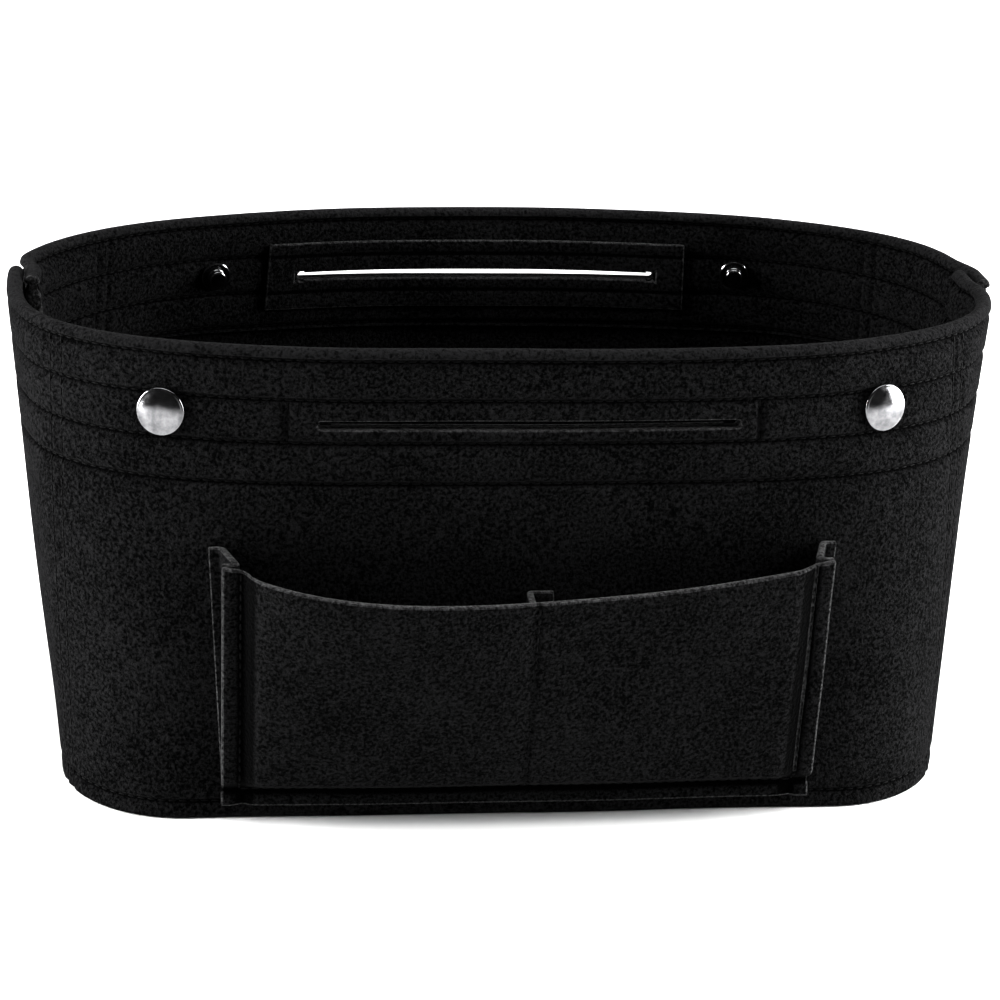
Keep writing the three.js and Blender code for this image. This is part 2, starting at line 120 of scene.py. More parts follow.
class Finish:
    def __init__(self, name, **shader):
        self.material = bpy.data.materials.new(name)
        self.material.use_nodes = True
        self.tree = self.material.node_tree
        self.shader = self.tree.nodes["Principled BSDF"]
        self.set(shader)

    def feed(self, socket, value):
        if isinstance(value, Signal):
            self.tree.links.new(value.socket, socket)
        else:
            socket.default_value = value

    def set(self, values):
        for name, value in values.items():
            self.feed(self.shader.inputs[name.replace("_", " ")], value)

    def node(self, kind, settings, values, output=0):
        made = self.tree.nodes.new(kind)
        for name, value in settings.items():
            if name == "stops":
                for stop, (place, colour) in zip(made.color_ramp.elements, value):
                    stop.position = place
                    stop.color = (*colour, 1)
            else:
                setattr(made, name, value)
        pairs = values.items() if isinstance(values, dict) else enumerate(values)
        for name, value in pairs:
            self.feed(made.inputs[name], value)
        return Signal(self, made.outputs[output])

    def place(self):
        return self.node("ShaderNodeTexCoord", {}, [], "Object")

    def along(self, axis):
        return self.node("ShaderNodeSeparateXYZ", {}, [self.place()], axis).away_from(0)

    def noise(self, scale, detail, roughness):
        values = {"Vector": self.place(), "Scale": scale, "Detail": detail,
                  "Roughness": roughness}
        return self.node("ShaderNodeTexNoise", {}, values, "Fac")

    def ramp(self, signal, *stops):
        return self.node("ShaderNodeValToRGB", {"stops": stops}, [signal], "Color")

    def bump(self, height, strength, distance):
        values = {"Height": height, "Strength": strength, "Distance": distance}
        return self.node("ShaderNodeBump", {}, values, "Normal")


# Floor and light: a plain pale floor and soft studio lamps. Broad soft light falls from above
# and a little behind, and two lamps stand to the left and right.
floor_reach = 6
floor_drop = 0.0004
studio_light, display_gamma = 0.07, 0.78
sky_power, sky_spread, sky_lean = 3.5, math.radians(70), math.radians(-14)
lamps = {
    "lamp_left": ((-1.25, -0.12, 0.32), (0.5, 0.9), 60),
    "lamp_right": ((1.25, -0.12, 0.3), (0.8, 1.3), 96),
}

paper = Finish("pale_floor", Base_Color=(0.86, 0.86, 0.86, 1), Roughness=0.9)
bm = bmesh.new()
bmesh.ops.create_grid(bm, x_segments=1, y_segments=1, size=floor_reach)
bmesh.ops.translate(bm, vec=(0, 0, -floor_drop), verts=bm.verts)
floor_mesh = mesh_from("floor", bm)
floor_mesh.materials.append(paper.material)
floor = in_scene("floor", floor_mesh)

world = bpy.data.worlds.new("studio")
world.use_nodes = True
background = world.node_tree.nodes["Background"].inputs
background["Color"].default_value = (1, 1, 1, 1)
background["Strength"].default_value = studio_light
bpy.context.scene.world = world
bpy.context.scene.view_settings.view_transform = "Standard"
bpy.context.scene.view_settings.gamma = display_gamma

sky = bpy.data.lights.new("lamp_above", "SUN")
sky.energy = sky_power
sky.angle = sky_spread
in_scene("lamp_above", sky).rotation_euler = (sky_lean, 0, 0)

for name, (place, size, power) in lamps.items():
    lamp = bpy.data.lights.new(name, "AREA")
    lamp.shape = "RECTANGLE"
    lamp.size, lamp.size_y = size
    lamp.energy = power
    lamp_object = in_scene(name, lamp)
    lamp_object.location = place
    lamp_object.rotation_euler = (aim - Vector(place)).to_track_quat("-Z", "Y").to_euler()


# Front and rear wall: two long pieces of black pressed felt, each with its top turned in and
# sewn down as a deep hem. At each end one half laps over the other, in two rows of stitches:
# the front half on the left and the rear half on the right. The felt sinks under every seam.
felt_thickness = 0.0024
seam_gap = 0.0003
tub_height = 0.1424
rim_half_width, rim_half_depth = 0.150, 0.080
rim_powers = ((3.1, 2.7), (2.6, 2.15))
base_half_width, base_half_depth, base_corner = 0.1345, 0.083, 0.038
rim_marks, corner_marks, place_marks = 1601, 25, 801
end_bow = 0.0095
seam_standout = 0.003
sways = ((5, 24, 0, 0.00035), (11, -41, 1, 0.0002))
hem_height = tub_height - 0.041
hem_thickness = 2 * felt_thickness
hem_slit = 0.0003
end_round, end_round_share = 0.0011, 0.9
lap_half = 0.006
lap_release = 0.014
probe = 0.0005
band_rows = [tub_height - drop for drop in (0.0035, 0.015, 0.0275, 0.0395)]
foot_row = 0.005
end_seam = 0.058
twin_half = 0.0024
lap_seam_half = 0.004
groove_depth, hem_groove_extra = 0.0010, 0.0005
groove_half_width = 0.0009
upright_share = 0.45
box_fade = 0.001
slot_height = tub_height - 0.022
slot_half_length, slot_half_width = 0.0605, 0.0012
slot_gape, slot_closing, slot_fade = (0.0002, 0.0004), 0.0013, 0.004
slot_end_marks = np.array([0, 0.0003, 0.0008])
touching = 0.0001
column_clear, end_column_clear = 0.0002, 0.00005
slot_lips = (slot_height - slot_half_width, slot_height + slot_half_width)
snap_height = tub_height - 0.020
snap_half_spacings = (0.104, 0.088)
snap_dimple, snap_dimple_radius, snap_dimple_power = 0.0005, 0.0095, 6


class Outline:
    def __init__(self, points):
        self.points = np.array(points)
        steps = np.linalg.norm(np.diff(self.points, axis=0), axis=1)
        self.reach = np.concatenate([[0], np.cumsum(steps)])

    def at(self, share):
        reach = share * self.reach[-1]
        return np.stack([np.interp(reach, self.reach, axis) for axis in self.points.T], -1)


def rim_points(powers):
    turn = np.linspace(0, np.pi, rim_marks)
    power = 2 / np.where(np.cos(turn) > 0, *powers)
    across = np.maximum(np.sin(turn), 0) ** power * rim_half_depth
    along = np.sign(np.cos(turn)) * np.abs(np.cos(turn)) ** power * rim_half_width
    return np.stack([-along, -across], -1)


def base_points():
    corner = np.array([base_half_width - base_corner, base_half_depth - base_corner])
    quarter = np.linspace(0, np.pi / 2, corner_marks)
    left = [(-corner[0] - base_corner * math.cos(t), -corner[1] - base_corner * math.sin(t))
            for t in quarter]
    turned_right = [(-x, y) for x, y in reversed(left)]
    return [(-base_half_width, 0), *left, *turned_right, (base_half_width, 0)]


rims = [Outline(rim_points(powers)) for powers in rim_powers]
base = Outline(base_points())
half_length = rims[0].reach[-1]


def smooth(value, low, high):
    share = np.clip((value - low) / (high - low), 0, 1)
    return share * share * (3 - 2 * share)


def lap_amount(station):
    from_end = np.abs(station - np.round(station)) * half_length
    return 1 - smooth(from_end, lap_half, lap_half + lap_release)


# A station runs 0 to 1 along the front from left to right, and 1 to 2 back along the rear.
def plan(station, height):
    half = np.floor(station) % 2
    share = np.mod(station, 1)
    rise = np.asarray(height / tub_height)[..., None]
    high = np.where(half[..., None] == 0, rims[0].at(share), rims[1].at(share))
    side = np.where(half == 0, 1, -1)[..., None]
    flat = side * (base.at(share) * (1 - rise) + high * rise)
    standout = seam_standout * rise[..., 0] * lap_amount(station) * (flat[..., 0] > 0)
    bow = 1 + end_bow * np.sin(np.pi * rise[..., 0])
    return np.stack([flat[..., 0] * bow + standout, flat[..., 1]], -1)


def sway(station, height):
    return sum(np.sin(along * np.pi * station + up * height + start) * amount
               for along, up, start, amount in sways)


def wall_point(station, inset, height):
    station, inset, height = np.broadcast_arrays(station, inset, height)
    step = probe / half_length
    ahead = plan(station + step, height) - plan(station - step, height)
    outward = np.stack([ahead[..., 1], -ahead[..., 0]], -1)
    outward /= np.linalg.norm(outward, axis=-1)[..., None]
    flat = plan(station, height) + outward * (sway(station, height) - inset)[..., None]
    return np.concatenate([flat, height[..., None]], -1)


def tuck(half, station, height):
    top = hem_height - seam_gap
    deeper = smooth(height, top - lap_release, top)
    far_end = station > half + 0.5
    return far_end * lap_amount(station) * (seam_gap + felt_thickness * (1 + deeper))


def station_at(half, x, height):
    stations = np.linspace(half, half + 1, place_marks)[1:-1]
    xs = plan(stations, np.full(stations.shape, height))[:, 0]
    return np.interp(x, xs, stations) if half == 0 else np.interp(-x, -xs, stations)


end_share = end_seam / half_length
lap_end = lap_half / half_length
twin_share = twin_half / half_length
wall_uprights = [[end_share - twin_share, end_share + twin_share,
                  1 - end_share - twin_share, 1 - end_share + twin_share]]
wall_uprights.append([1 + station for station in wall_uprights[0]])
lap_share = lap_seam_half / half_length
lap_uprights = [[-lap_share, lap_share, 1 - lap_share, 1 + lap_share],
                [1 - lap_share, 1 + lap_share, 2 - lap_share, 2 + lap_share]]
snap_stations = [[float(station_at(half, side * snap_half_spacings[half], snap_height))
                  for side in (-1, 1)] for half in (0, 1)]
slot_box = ((-0.0690, 0.0660), (band_rows[2], band_rows[1]))
box_stations = [[float(station_at(half, x, slot_height)) for x in slot_box[0]]
                for half in (0, 1)]


def groove(distance):
    return np.exp(-((distance / groove_half_width) ** 2))


def upright_grooves(station, places):
    return np.max([groove((station - place) * half_length) for place in places], axis=0)


def pressed(half, station, height):
    sunk = np.max([groove(height - row) for row in (*band_rows, foot_row)], axis=0)
    uprights = upright_grooves(station, [*wall_uprights[half], *lap_uprights[half]])
    shown = smooth(height, slot_box[1][0] - box_fade, slot_box[1][0])
    shown = shown * (1 - smooth(height, slot_box[1][1], slot_box[1][1] + box_fade))
    box = shown * upright_grooves(station, box_stations[half])
    sunk = np.maximum(np.maximum(sunk, upright_share * uprights), box)
    reaches = [np.hypot((station - centre) * half_length, height - snap_height)
               for centre in snap_stations[half]]
    dimple = np.max([np.exp(-((reach / snap_dimple_radius) ** snap_dimple_power))
                     for reach in reaches], axis=0)
    depth = groove_depth + (height > hem_height) * hem_groove_extra
    return sunk * depth + dimple * snap_dimple


def packed_steps(start, end, step, fine_step, reach, centres):
    near = [c for c in centres if start - reach < c < end + reach]
    marks = [start]
    while marks[-1] < end:
        close = any(abs(marks[-1] - centre) < reach for centre in near)
        gap_ahead = [centre - reach - marks[-1] for centre in near if centre - reach > marks[-1]]
        stride = fine_step if close else min([step, *[g for g in gap_ahead if g > fine_step / 2]])
        marks.append(marks[-1] + stride)
    marks = np.array(marks)
    return start + (marks - start) * (end - start) / (marks[-1] - start)


def with_marks(values, marks, reach):
    kept = [v for v in values if all(abs(v - mark) > reach for mark in marks)]
    return np.array(sorted([*kept, *marks]))


def stations_about_middle(half, reach):
    return sorted(float(station_at(half, x, slot_height)) for x in (-reach, reach))


def with_slot_marks(columns, slot_ends):
    marks = slot_end_marks / half_length
    return with_marks(columns, [*(slot_ends[0] + marks), *(slot_ends[1] - marks)],
                      column_clear / half_length)


def slot_spread(half, station, height):
    ends = stations_about_middle(half, slot_half_length)
    across = np.clip((station - ends[0]) / (ends[1] - ends[0]), 0, 1)
    from_end = np.minimum(station - ends[0], ends[1] - station) * half_length
    outside = 1 - np.clip(from_end / slot_half_width, 0, 1)
    round_end = (1 - np.sqrt(1 - outside ** 2)) * (from_end > -touching)
    from_slot = height - slot_height
    near = np.sign(from_slot) * np.exp(-np.abs(from_slot) / slot_fade)
    return (slot_gape[half] * np.sin(np.pi * across) - slot_closing * round_end) * near


def lay(bm, points):
    rows, columns = points.shape[:2]
    grid = bmesh.ops.create_grid(bm, x_segments=columns - 1, y_segments=rows - 1, size=1)
    for vert, place in zip(grid["verts"], points.reshape(-1, 3)):
        vert.co = place
    return grid["verts"]


felt_smooth_below, thread_smooth_below, metal_smooth_below = (
    math.radians(turn) for turn in (50, 80, 35))


def finished(name, bm, finish, smooth_below=felt_smooth_below, edge_finish=None):
    bmesh.ops.recalc_face_normals(bm, faces=bm.faces)
    mesh = mesh_from(name, bm)
    mesh.polygons.foreach_set("use_smooth", [True] * len(mesh.polygons))
    mesh.set_sharp_from_angle(angle=smooth_below)
    mesh.materials.append(finish.material)
    if edge_finish:
        mesh.materials.append(edge_finish.material)
    return in_scene(name, mesh)


fleck_noise, fibre_noise, patch_noise = (980, 3, 0.62), (2600, 2, 0.6), (38, 3, 0.55)
fleck_share, patch_share, relief_share = 0.8, 0.14, 0.75
deep_stop, pale_stop = 0.41, 0.63
pile_depth = 0.0011
felt_sheen, cut_sheen = 0.02, 0.1
# Painted shade along the seams: how strongly it darkens the felt and how far it reaches on the
# wall.
seam_shade, wall_seam_reach = 260, 0.0016
# Painted highlight near the rim's top: where it starts and how strongly it lightens the felt.
rim_highlight_height, rim_highlight = tub_height - 0.0040, 25
felt_tones = (0.0003, 0.0003, 0.0004), (0.0165, 0.0165, 0.0170)
# Cut edges get lighter tones than the felt's faces: a painted highlight.
cut_highlight_tones = (0.008, 0.008, 0.008), (0.058, 0.058, 0.059)


# Felt: its tone varies at random in flecks, fibres and patches. Given seams, its colour is also
# darkened in a band along each seam as painted shade, and lightened near the top of the rim as a
# painted highlight.
def felt_finish(name, deep, pale, sheen, seams=(), seam_reach=wall_seam_reach):
    felt = Finish(name, Roughness=0.95, Specular_IOR_Level=0.02, Sheen_Weight=sheen,
                  Sheen_Roughness=0.4)
    flecks, fibres, patches = (felt.noise(*kind)
                               for kind in (fleck_noise, fibre_noise, patch_noise))
    tone = flecks * fleck_share + fibres * (1 - fleck_share)
    tone = tone + patches * patch_share - patch_share / 2
    if seams:
        aside = 1.0
        for axis, place in seams:
            aside = felt.along(axis).away_from(place).at_most(aside)
        # Painted shade: a dark band along each seam line.
        painted_seam_shade = (flecks * seam_reach - aside).at_least(0) * seam_shade
        # Painted highlight: the felt is lighter within a few millimetres of the rim's top.
        rim_light = (felt.along("Z") - rim_highlight_height).at_least(0) * rim_highlight
        tone = tone - painted_seam_shade + rim_light
    colour = felt.ramp(tone, (deep_stop, deep), (pale_stop, pale))
    relief = flecks * relief_share + fibres * (1 - relief_share)
    felt.set({"Base_Color": colour, "Normal": felt.bump(relief, 1.0, pile_depth)})
    return felt


# The wall felt carries painted shade along its stitch rows and a painted highlight at the rim.
wall_felt = felt_finish("black_felt", *felt_tones, felt_sheen,
                        [("Z", row) for row in (*band_rows, foot_row)])
# Painted highlight: cut edges, slot lips and the cut end faces take this lighter felt.
highlit_cut_felt = felt_finish("cut_felt_edge_highlight", *cut_highlight_tones, cut_sheen)


# The wall is laid as a grid, with narrower rows and columns within reach of a seam. The bottom
# edge of its hem is rounded, and a slit runs up between the hem's two layers.
wall_step, wall_reach = 0.0024, 0.0022
fine_row, fine_column = 0.0006, 0.0007
inner_step, fine_inner_row = 0.0028, 0.0008
fold_marks, slit_marks = 11, 14
end_mark_shares = np.array([0.12, 0.4, 1])
hem_edge_round, hem_edge_corner = 0.0007, 0.0002
slit_lip, slit_start, below_hem = 0.0006, 0.0005, 0.0006
lip_round = 0.0004
same_place = 1e-9


# Each row of the section holds its inset, its height, how it sinks at a seam, and which way it
# moves at a cut end, where the felt is rounded.
def wall_section():
    fold_height = tub_height - felt_thickness
    slit_side = felt_thickness + hem_slit
    outer_rows = packed_steps(0, fold_height, wall_step, fine_row, wall_reach,
                              [*band_rows, foot_row])
    outer_rows = with_marks(outer_rows, slot_lips, fine_row / 2)
    section = [(0, z, 1, 1, 0) for z in outer_rows[:-1]]
    for t in np.linspace(np.pi, 0, fold_marks):
        over, rise = math.cos(t), math.sin(t)
        section.append((felt_thickness * (1 + over), fold_height + felt_thickness * rise, 0,
                        -over, -rise))
    hem_rows = packed_steps(hem_height + hem_edge_round, fold_height, wall_step, fine_row,
                            wall_reach, band_rows)
    hem_rows = with_marks(hem_rows, slot_lips, fine_row / 2)
    section += [(hem_thickness, z, -1, -1, 0) for z in hem_rows[-2::-1]]
    section += [(hem_thickness - hem_edge_corner, hem_height + hem_edge_corner, -1, -1, 1),
                (hem_thickness - hem_edge_round, hem_height, 0, 0, 1),
                (slit_side + slit_lip, hem_height, 0, 0, 1)]
    slit_rows = np.linspace(hem_height + slit_start, fold_height, slit_marks)
    slit_rows = with_marks(slit_rows, slot_lips, fine_row)
    section += [(slit_side, z, 0, 1, 0) for z in slit_rows]
    section += [(felt_thickness, z, 0, -1, 0) for z in slit_rows[::-1]]
    section.append((felt_thickness, hem_height - below_hem, 0, -1, 0))
    inner_rows = packed_steps(0, hem_height - 2 * below_hem, inner_step, fine_inner_row,
                              wall_reach, [foot_row])
    section += [(felt_thickness, z, -1, -1, 0) for z in inner_rows[::-1]]
    return np.array(section)


def wall_columns(half, ends, slot_ends):
    dense = [*wall_uprights[half], *lap_uprights[half], *box_stations[half]]
    columns = packed_steps(ends[0] * half_length, ends[1] * half_length, wall_step, fine_column,
                           wall_reach, [station * half_length for station in dense])
    columns = with_slot_marks(columns / half_length, slot_ends)
    soft = end_round * end_mark_shares / half_length
    return with_marks(columns, [*(ends[0] + soft), *(ends[1] - soft)],
                      end_column_clear / half_length)


def wall_points(half, section, columns, ends):
    station = columns[None, :]
    from_end = np.minimum(station - ends[0], ends[1] - station) * half_length
    outside = 1 - np.clip(from_end / end_round, 0, 1)
    shrink = end_round * (1 - np.sqrt(1 - outside ** 2)) * end_round_share
    inset, height, side, inward, rise = (section[:, [i]] for i in range(section.shape[1]))
    sunk = pressed(half, station, height)
    tucked = tuck(half, station, height)
    spread = slot_spread(half, station, height)
    return wall_point(station, inset + tucked + side * sunk + inward * shrink,
                      height + spread + rise * shrink)


def close_sheet(bm, verts, count):
    first, last = set(verts[:count]), set(verts[-count:])
    foot = [e for e in bm.edges if set(e.verts) <= first or set(e.verts) <= last]
    foot_strip = bmesh.ops.bridge_loops(bm, edges=foot)["faces"]
    open_ends = [e for e in bm.edges if e.is_boundary]
    return foot_strip, bmesh.ops.holes_fill(bm, edges=open_ends, sides=0)["faces"]


def mark_cut(faces):
    for face in faces:
        face.material_index = 1


def soften(bm, edges, offset):
    bmesh.ops.bevel(bm, geom=edges, offset=offset, segments=2, profile=0.5, affect="EDGES",
                    material=1)


def split_wide_faces(bm):
    bmesh.ops.triangulate(bm, faces=[f for f in bm.faces if len(f.verts) > 4])


# The slot is cut through the wall and through the hem behind it, layer by layer.
def cut_slot(bm, grid, section, columns, slot_ends):
    start, end = slot_ends[0] - same_place, slot_ends[1] + same_place
    column_in = [i for i in range(len(columns) - 1)
                 if start <= columns[i] and columns[i + 1] <= end]
    doomed = []
    layers = (set(), set())
    for row in range(len(section) - 1):
        here, beyond = sorted((section[row][1], section[row + 1][1]))
        if not slot_lips[0] - same_place <= here < beyond <= slot_lips[1] + same_place:
            continue
        layers[int(section[row][0] > felt_thickness)].update(grid[row], grid[row + 1])
        for column in column_in:
            corners = {grid[row][column], grid[row + 1][column + 1]}
            doomed += [f for f in grid[row][column].link_faces if corners <= set(f.verts)]
    bmesh.ops.delete(bm, geom=list(set(doomed)), context="FACES")
    lip_edges = [e for e in bm.edges if e.is_boundary]
    for layer in layers:
        around = [e for e in lip_edges if set(e.verts) <= layer]
        mark_cut(bmesh.ops.bridge_loops(bm, edges=around)["faces"])
    soften(bm, lip_edges, lip_round)


def wall(half):
    section = wall_section()
    ends = (half - lap_end, half + 1 + lap_end)
    slot_ends = stations_about_middle(half, slot_half_length)
    columns = wall_columns(half, ends, slot_ends)
    bm = bmesh.new()
    verts = lay(bm, wall_points(half, section, columns, ends))
    caps = close_sheet(bm, verts, len(columns))[1]
    grid = np.array(verts, object).reshape(len(section), len(columns))
    end_width = len(end_mark_shares) + 1
    cut_verts = {*grid[:, :end_width].flat, *grid[:, -end_width:].flat,
                 *grid[section[:, 4] == 1].flat}
    mark_cut(caps)
    mark_cut({f for vert in cut_verts for f in vert.link_faces if set(f.verts) <= cut_verts})
    cut_slot(bm, grid, section, columns, slot_ends)
    split_wide_faces(bm)
    side_name = half_names[half]
    piece = finished(side_name + "_wall_felt", bm, wall_felt, edge_finish=highlit_cut_felt)
    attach(piece, "shell")
    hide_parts(side_name + "_wall")


for half in (0, 1):
    wall(half)


# Slot patches: a thin strip of felt sewn inside the hem round each hand slot, so that the
# slot keeps its shape. The slot is cut through it as well.
patch_half_length, patch_half_height = 0.071, 0.0115
patch_thickness, patch_groove = 0.0014, 0.0005
patch_marks = (90, 27)
flat_enough, slot_slack = 0.7, 0.0003
cut_corner_angle = math.radians(60)
sheet_edge = 0.0005


def cut_sheet(name, face, back, finish, edge=sheet_edge, hole=None):
    bm = bmesh.new()
    verts = lay(bm, np.concatenate([face, back[::-1]]))
    rows, count = face.shape[:2]
    for strip in close_sheet(bm, verts, count):
        mark_cut(strip)
    top = {*verts[(rows - 1) * count:(rows + 1) * count]}
    mark_cut(f for f in bm.faces if set(f.verts) <= top)
    bm.normal_update()
    soften(bm, [e for e in bm.edges if e.calc_face_angle(0) > cut_corner_angle], edge)
    if hole:
        bm.normal_update()
        bmesh.ops.delete(bm, geom=[f for f in bm.faces if hole(f)], context="FACES")
        lips = [e for e in bm.edges if e.is_boundary]
        mark_cut(bmesh.ops.bridge_loops(bm, edges=lips)["faces"])
        soften(bm, lips, edge)
    split_wide_faces(bm)
    return finished(name, bm, finish, edge_finish=highlit_cut_felt)


def in_slot(face):
    middle = face.calc_center_median()
    if abs(face.normal.y) < flat_enough or abs(middle.x) > slot_half_length:
        return False
    return abs(middle.z - slot_height) < slot_half_width + slot_slack


for half, side_name in enumerate(half_names):
    columns = np.linspace(*stations_about_middle(half, patch_half_length), patch_marks[0])
    slot_ends = stations_about_middle(half, slot_half_length)
    columns = with_slot_marks(columns, slot_ends)[None, :]
    rows = np.linspace(slot_height - patch_half_height, slot_height + patch_half_height,
                       patch_marks[1])
    rows = with_marks(rows, slot_lips, sheet_edge)[:, None]
    sunk = np.max([groove(rows - row) for row in band_rows[1:3]], axis=0)
    sunk = np.maximum(sunk, upright_grooves(columns, box_stations[half]))
    spread = slot_spread(half, columns, rows)
    near = hem_thickness + seam_gap / 2
    back = wall_point(columns, near, rows + spread)
    face = wall_point(columns, near + patch_thickness - sunk * patch_groove, rows + spread)
    patch = cut_sheet(side_name + "_slot_patch_felt", face, back, wall_felt, hole=in_slot)
    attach(patch, "shell")
    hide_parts(side_name + "_slot_patch")


# Base: one piece of felt with its edge turned up inside the walls, where it is sewn through
# them all the way round.
base_lip = 0.009
base_clear = felt_thickness + seam_gap
base_bend, base_bend_marks = 0.0012, 5
base_release = 0.0035
base_edge_side, base_edge_down = 0.0004, 0.0005
base_low_ring, base_high_ring = 0.004, 0.0065
floor_insets = (0.008, 0.012, 0.016, 0.022)
base_marks = 601
merge_reach = 0.00001
# Inside the tub the same felt is given darker tones: painted shade.
inner_shade_tones = (0.0004, 0.0004, 0.0005), (0.0135, 0.0135, 0.0140)
shaded_inner_felt = felt_finish("inner_black_felt_shaded", *inner_shade_tones, felt_sheen)


def base_rings():
    outer, inner = base_clear, base_clear + felt_thickness
    outward = [(outer + base_bend * (1 - math.sin(t)), base_bend * (1 - math.cos(t)))
               for t in np.linspace(0, math.pi / 2, base_bend_marks)]
    inward = [(inner + base_bend * (1 - math.sin(t)),
               felt_thickness + base_bend * (1 - math.cos(t)))
              for t in np.linspace(math.pi / 2, 0, base_bend_marks)]
    edge = [(outer, base_lip - base_edge_down), (outer + base_edge_side, base_lip),
            (inner - base_edge_side, base_lip), (inner, base_lip - base_edge_down)]
    return [*((inset, 0) for inset in floor_insets[::-1]), *outward,
            (outer, base_low_ring), (outer, base_high_ring), *edge,
            (inner, base_high_ring), *inward,
            *((inset, felt_thickness) for inset in floor_insets)]


rings = np.array(base_rings())
stations = np.linspace(0, 2, base_marks)[None, :]
insets, heights = rings[:, [0]], rings[:, [1]]
beyond = (stations - np.round(stations)) * half_length
release = np.where(beyond > 0, base_release, lap_release)
tucked = base_clear * (1 - smooth(np.abs(beyond), lap_half, lap_half + release))
bm = bmesh.new()
lay(bm, wall_point(stations, insets + tucked, heights))
bmesh.ops.remove_doubles(bm, verts=bm.verts, dist=merge_reach)
bmesh.ops.holes_fill(bm, edges=[e for e in bm.edges if e.is_boundary], sides=0)
base_piece = finished("base_felt", bm, shaded_inner_felt)
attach(base_piece, "shell")
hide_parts("base_panel")


# Slip pockets: one sheet of felt inside each long wall, sewn along its foot, down its ends and
# between its cells. Every cell stands open in a low arch at the free top edge.
slip_top = 0.092
slip_foot = base_lip + seam_gap
slip_opening = 0.0125
slip_cells = (4, 3)
slip_wave, slip_waves = 0.0008, 19
slip_column, slip_fine_column, slip_column_reach = 0.0026, 0.0008, 0.003
slip_row, slip_fine_row, slip_row_reach = 0.003, 0.001, 0.004


def slip_inset(half, station, height):
    cell = (station - half - end_share) / (1 - 2 * end_share) * slip_cells[half]
    left = 1 - (height - slip_foot) / (slip_top - slip_foot)
    arch = np.abs(np.sin(np.pi * cell)) * (1 - left * left)
    return felt_thickness + seam_gap + slip_opening * arch


slip_seams = [np.linspace(half + end_share, half + 1 - end_share, slip_cells[half] + 1)
              for half in (0, 1)]
for half, side_name in enumerate(half_names):
    seams = slip_seams[half]
    columns = packed_steps(seams[0] * half_length, seams[-1] * half_length, slip_column,
                           slip_fine_column, slip_column_reach,
                           [seam * half_length for seam in seams])
    columns = columns[None, :] / half_length
    rows = packed_steps(slip_foot, slip_top, slip_row, slip_fine_row, slip_row_reach, [slip_top])
    rows = rows[:, None]
    near = slip_inset(half, columns, rows)
    sunk = upright_grooves(columns, seams)
    wave = slip_wave * np.sin(slip_waves * np.pi * columns) * smooth(rows, slip_foot, slip_top)
    back = wall_point(columns, near, rows + wave)
    face = wall_point(columns, near + felt_thickness - sunk * groove_depth, rows + wave)
    pocket = cut_sheet(side_name + "_slip_pocket_felt", face, back, shaded_inner_felt)
    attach(pocket, "shell")
    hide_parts(side_name + "_slip_pocket")


# Box pocket: a front panel sewn to the wall along its foot, two side webs and a divider web.
# The webs are Z-shaped strips: one allowance lies on the wall and one behind the panel. The
# seams stand proud, and the panel puffs out inside its stitches.
pocket_half_width, pocket_foot, pocket_top = 0.0874, 0.0045, 0.0845
pocket_allowance = 0.0053
pocket_standoff = 0.0155
pocket_puff, pocket_puff_width = 0.0026, 0.005
pocket_bulge, pocket_scoop = 0.011, 0.0075
valley_width, valley_depth, valley_shift = 1.9, 1.3, -0.0010
middle_depth, middle_fade = 0.8, 0.002
side_shade, foot_shade, pocket_seam_reach = 0.0015, 0.0008, 0.0052
panel_sag, sag_along, sag_up, sag_share = 0.0004, 70, 110, 0.5
panel_edge, web_edge = 0.0007, 0.0004
panel_column, panel_fine_column = 0.0026, 0.0006
below_steps, above_steps = (0.16, 0.06, 0.24), (0.04, 0.014, 0.05)
divider_x = 0.001
web_felt = 0.002
web_flange, web_spread = 0.0038, 0.0036
web_bend, web_bend_marks, web_marks = 0.0013, 4, 30
web_bend_limit = 2.2
divider_flange, divider_drop = 0.007, 0.006
seam_x = pocket_half_width - pocket_allowance
seam_z = pocket_foot + pocket_allowance
web_foot = seam_z + pocket_puff_width
web_stack = 3 * seam_gap + 2 * web_felt

front_marks = 1201
front_stations = np.linspace(0, 1, front_marks)[1:-1]


def front_y(x, height):
    points = wall_point(front_stations, 0, np.full(front_stations.shape, height))
    return np.interp(x, points[:, 0], points[:, 1])


def panel_top(x):
    return pocket_top - pocket_scoop * (1 - (x / pocket_half_width) ** 2)


def panel_back(x, height):
    start = seam_gap + (web_stack - seam_gap) * smooth(height, seam_z, web_foot)
    rise = np.clip((height - web_foot) / (pocket_top - web_foot), 0, 1)
    stand = start + (pocket_standoff - web_stack) * rise
    side = smooth(seam_x - np.abs(x), 0, pocket_puff_width)
    foot = smooth(height, seam_z, web_foot)
    across = np.clip((x + seam_x) / (2 * seam_x), 0, 1)
    lean = np.sin(np.pi * np.sqrt(across)) ** 2
    high = np.clip((height - seam_z) / (pocket_top - seam_z), 0, 1)
    swell = foot * (side * pocket_puff + lean * high * pocket_bulge)
    return front_y(x, height) - stand - swell


def panel_sunk(x, height):
    aside = np.minimum(np.abs(np.abs(x) - seam_x - valley_shift), np.abs(height - seam_z))
    sunk = groove(aside / valley_width) * valley_depth
    middle = groove(x - divider_x) * smooth(height, seam_z, seam_z + middle_fade)
    return np.maximum(sunk, middle * middle_depth) * groove_depth


def panel_points(xs, shares, depth, face):
    rows = []
    for share in shares:
        if share <= 0:
            height = np.full(xs.shape, web_foot + share * (web_foot - pocket_foot))
        else:
            height = web_foot + share * (panel_top(xs) - web_foot)
        y = np.array([float(panel_back(x, z)) for x, z in zip(xs, height)]) - depth
        y += face * panel_sunk(xs, height)
        sag = panel_sag * np.sin(sag_along * xs + sag_up * height)
        rows.append(np.stack([xs, y + sag * smooth(share, 0, sag_share), height], -1))
    return np.array(rows)


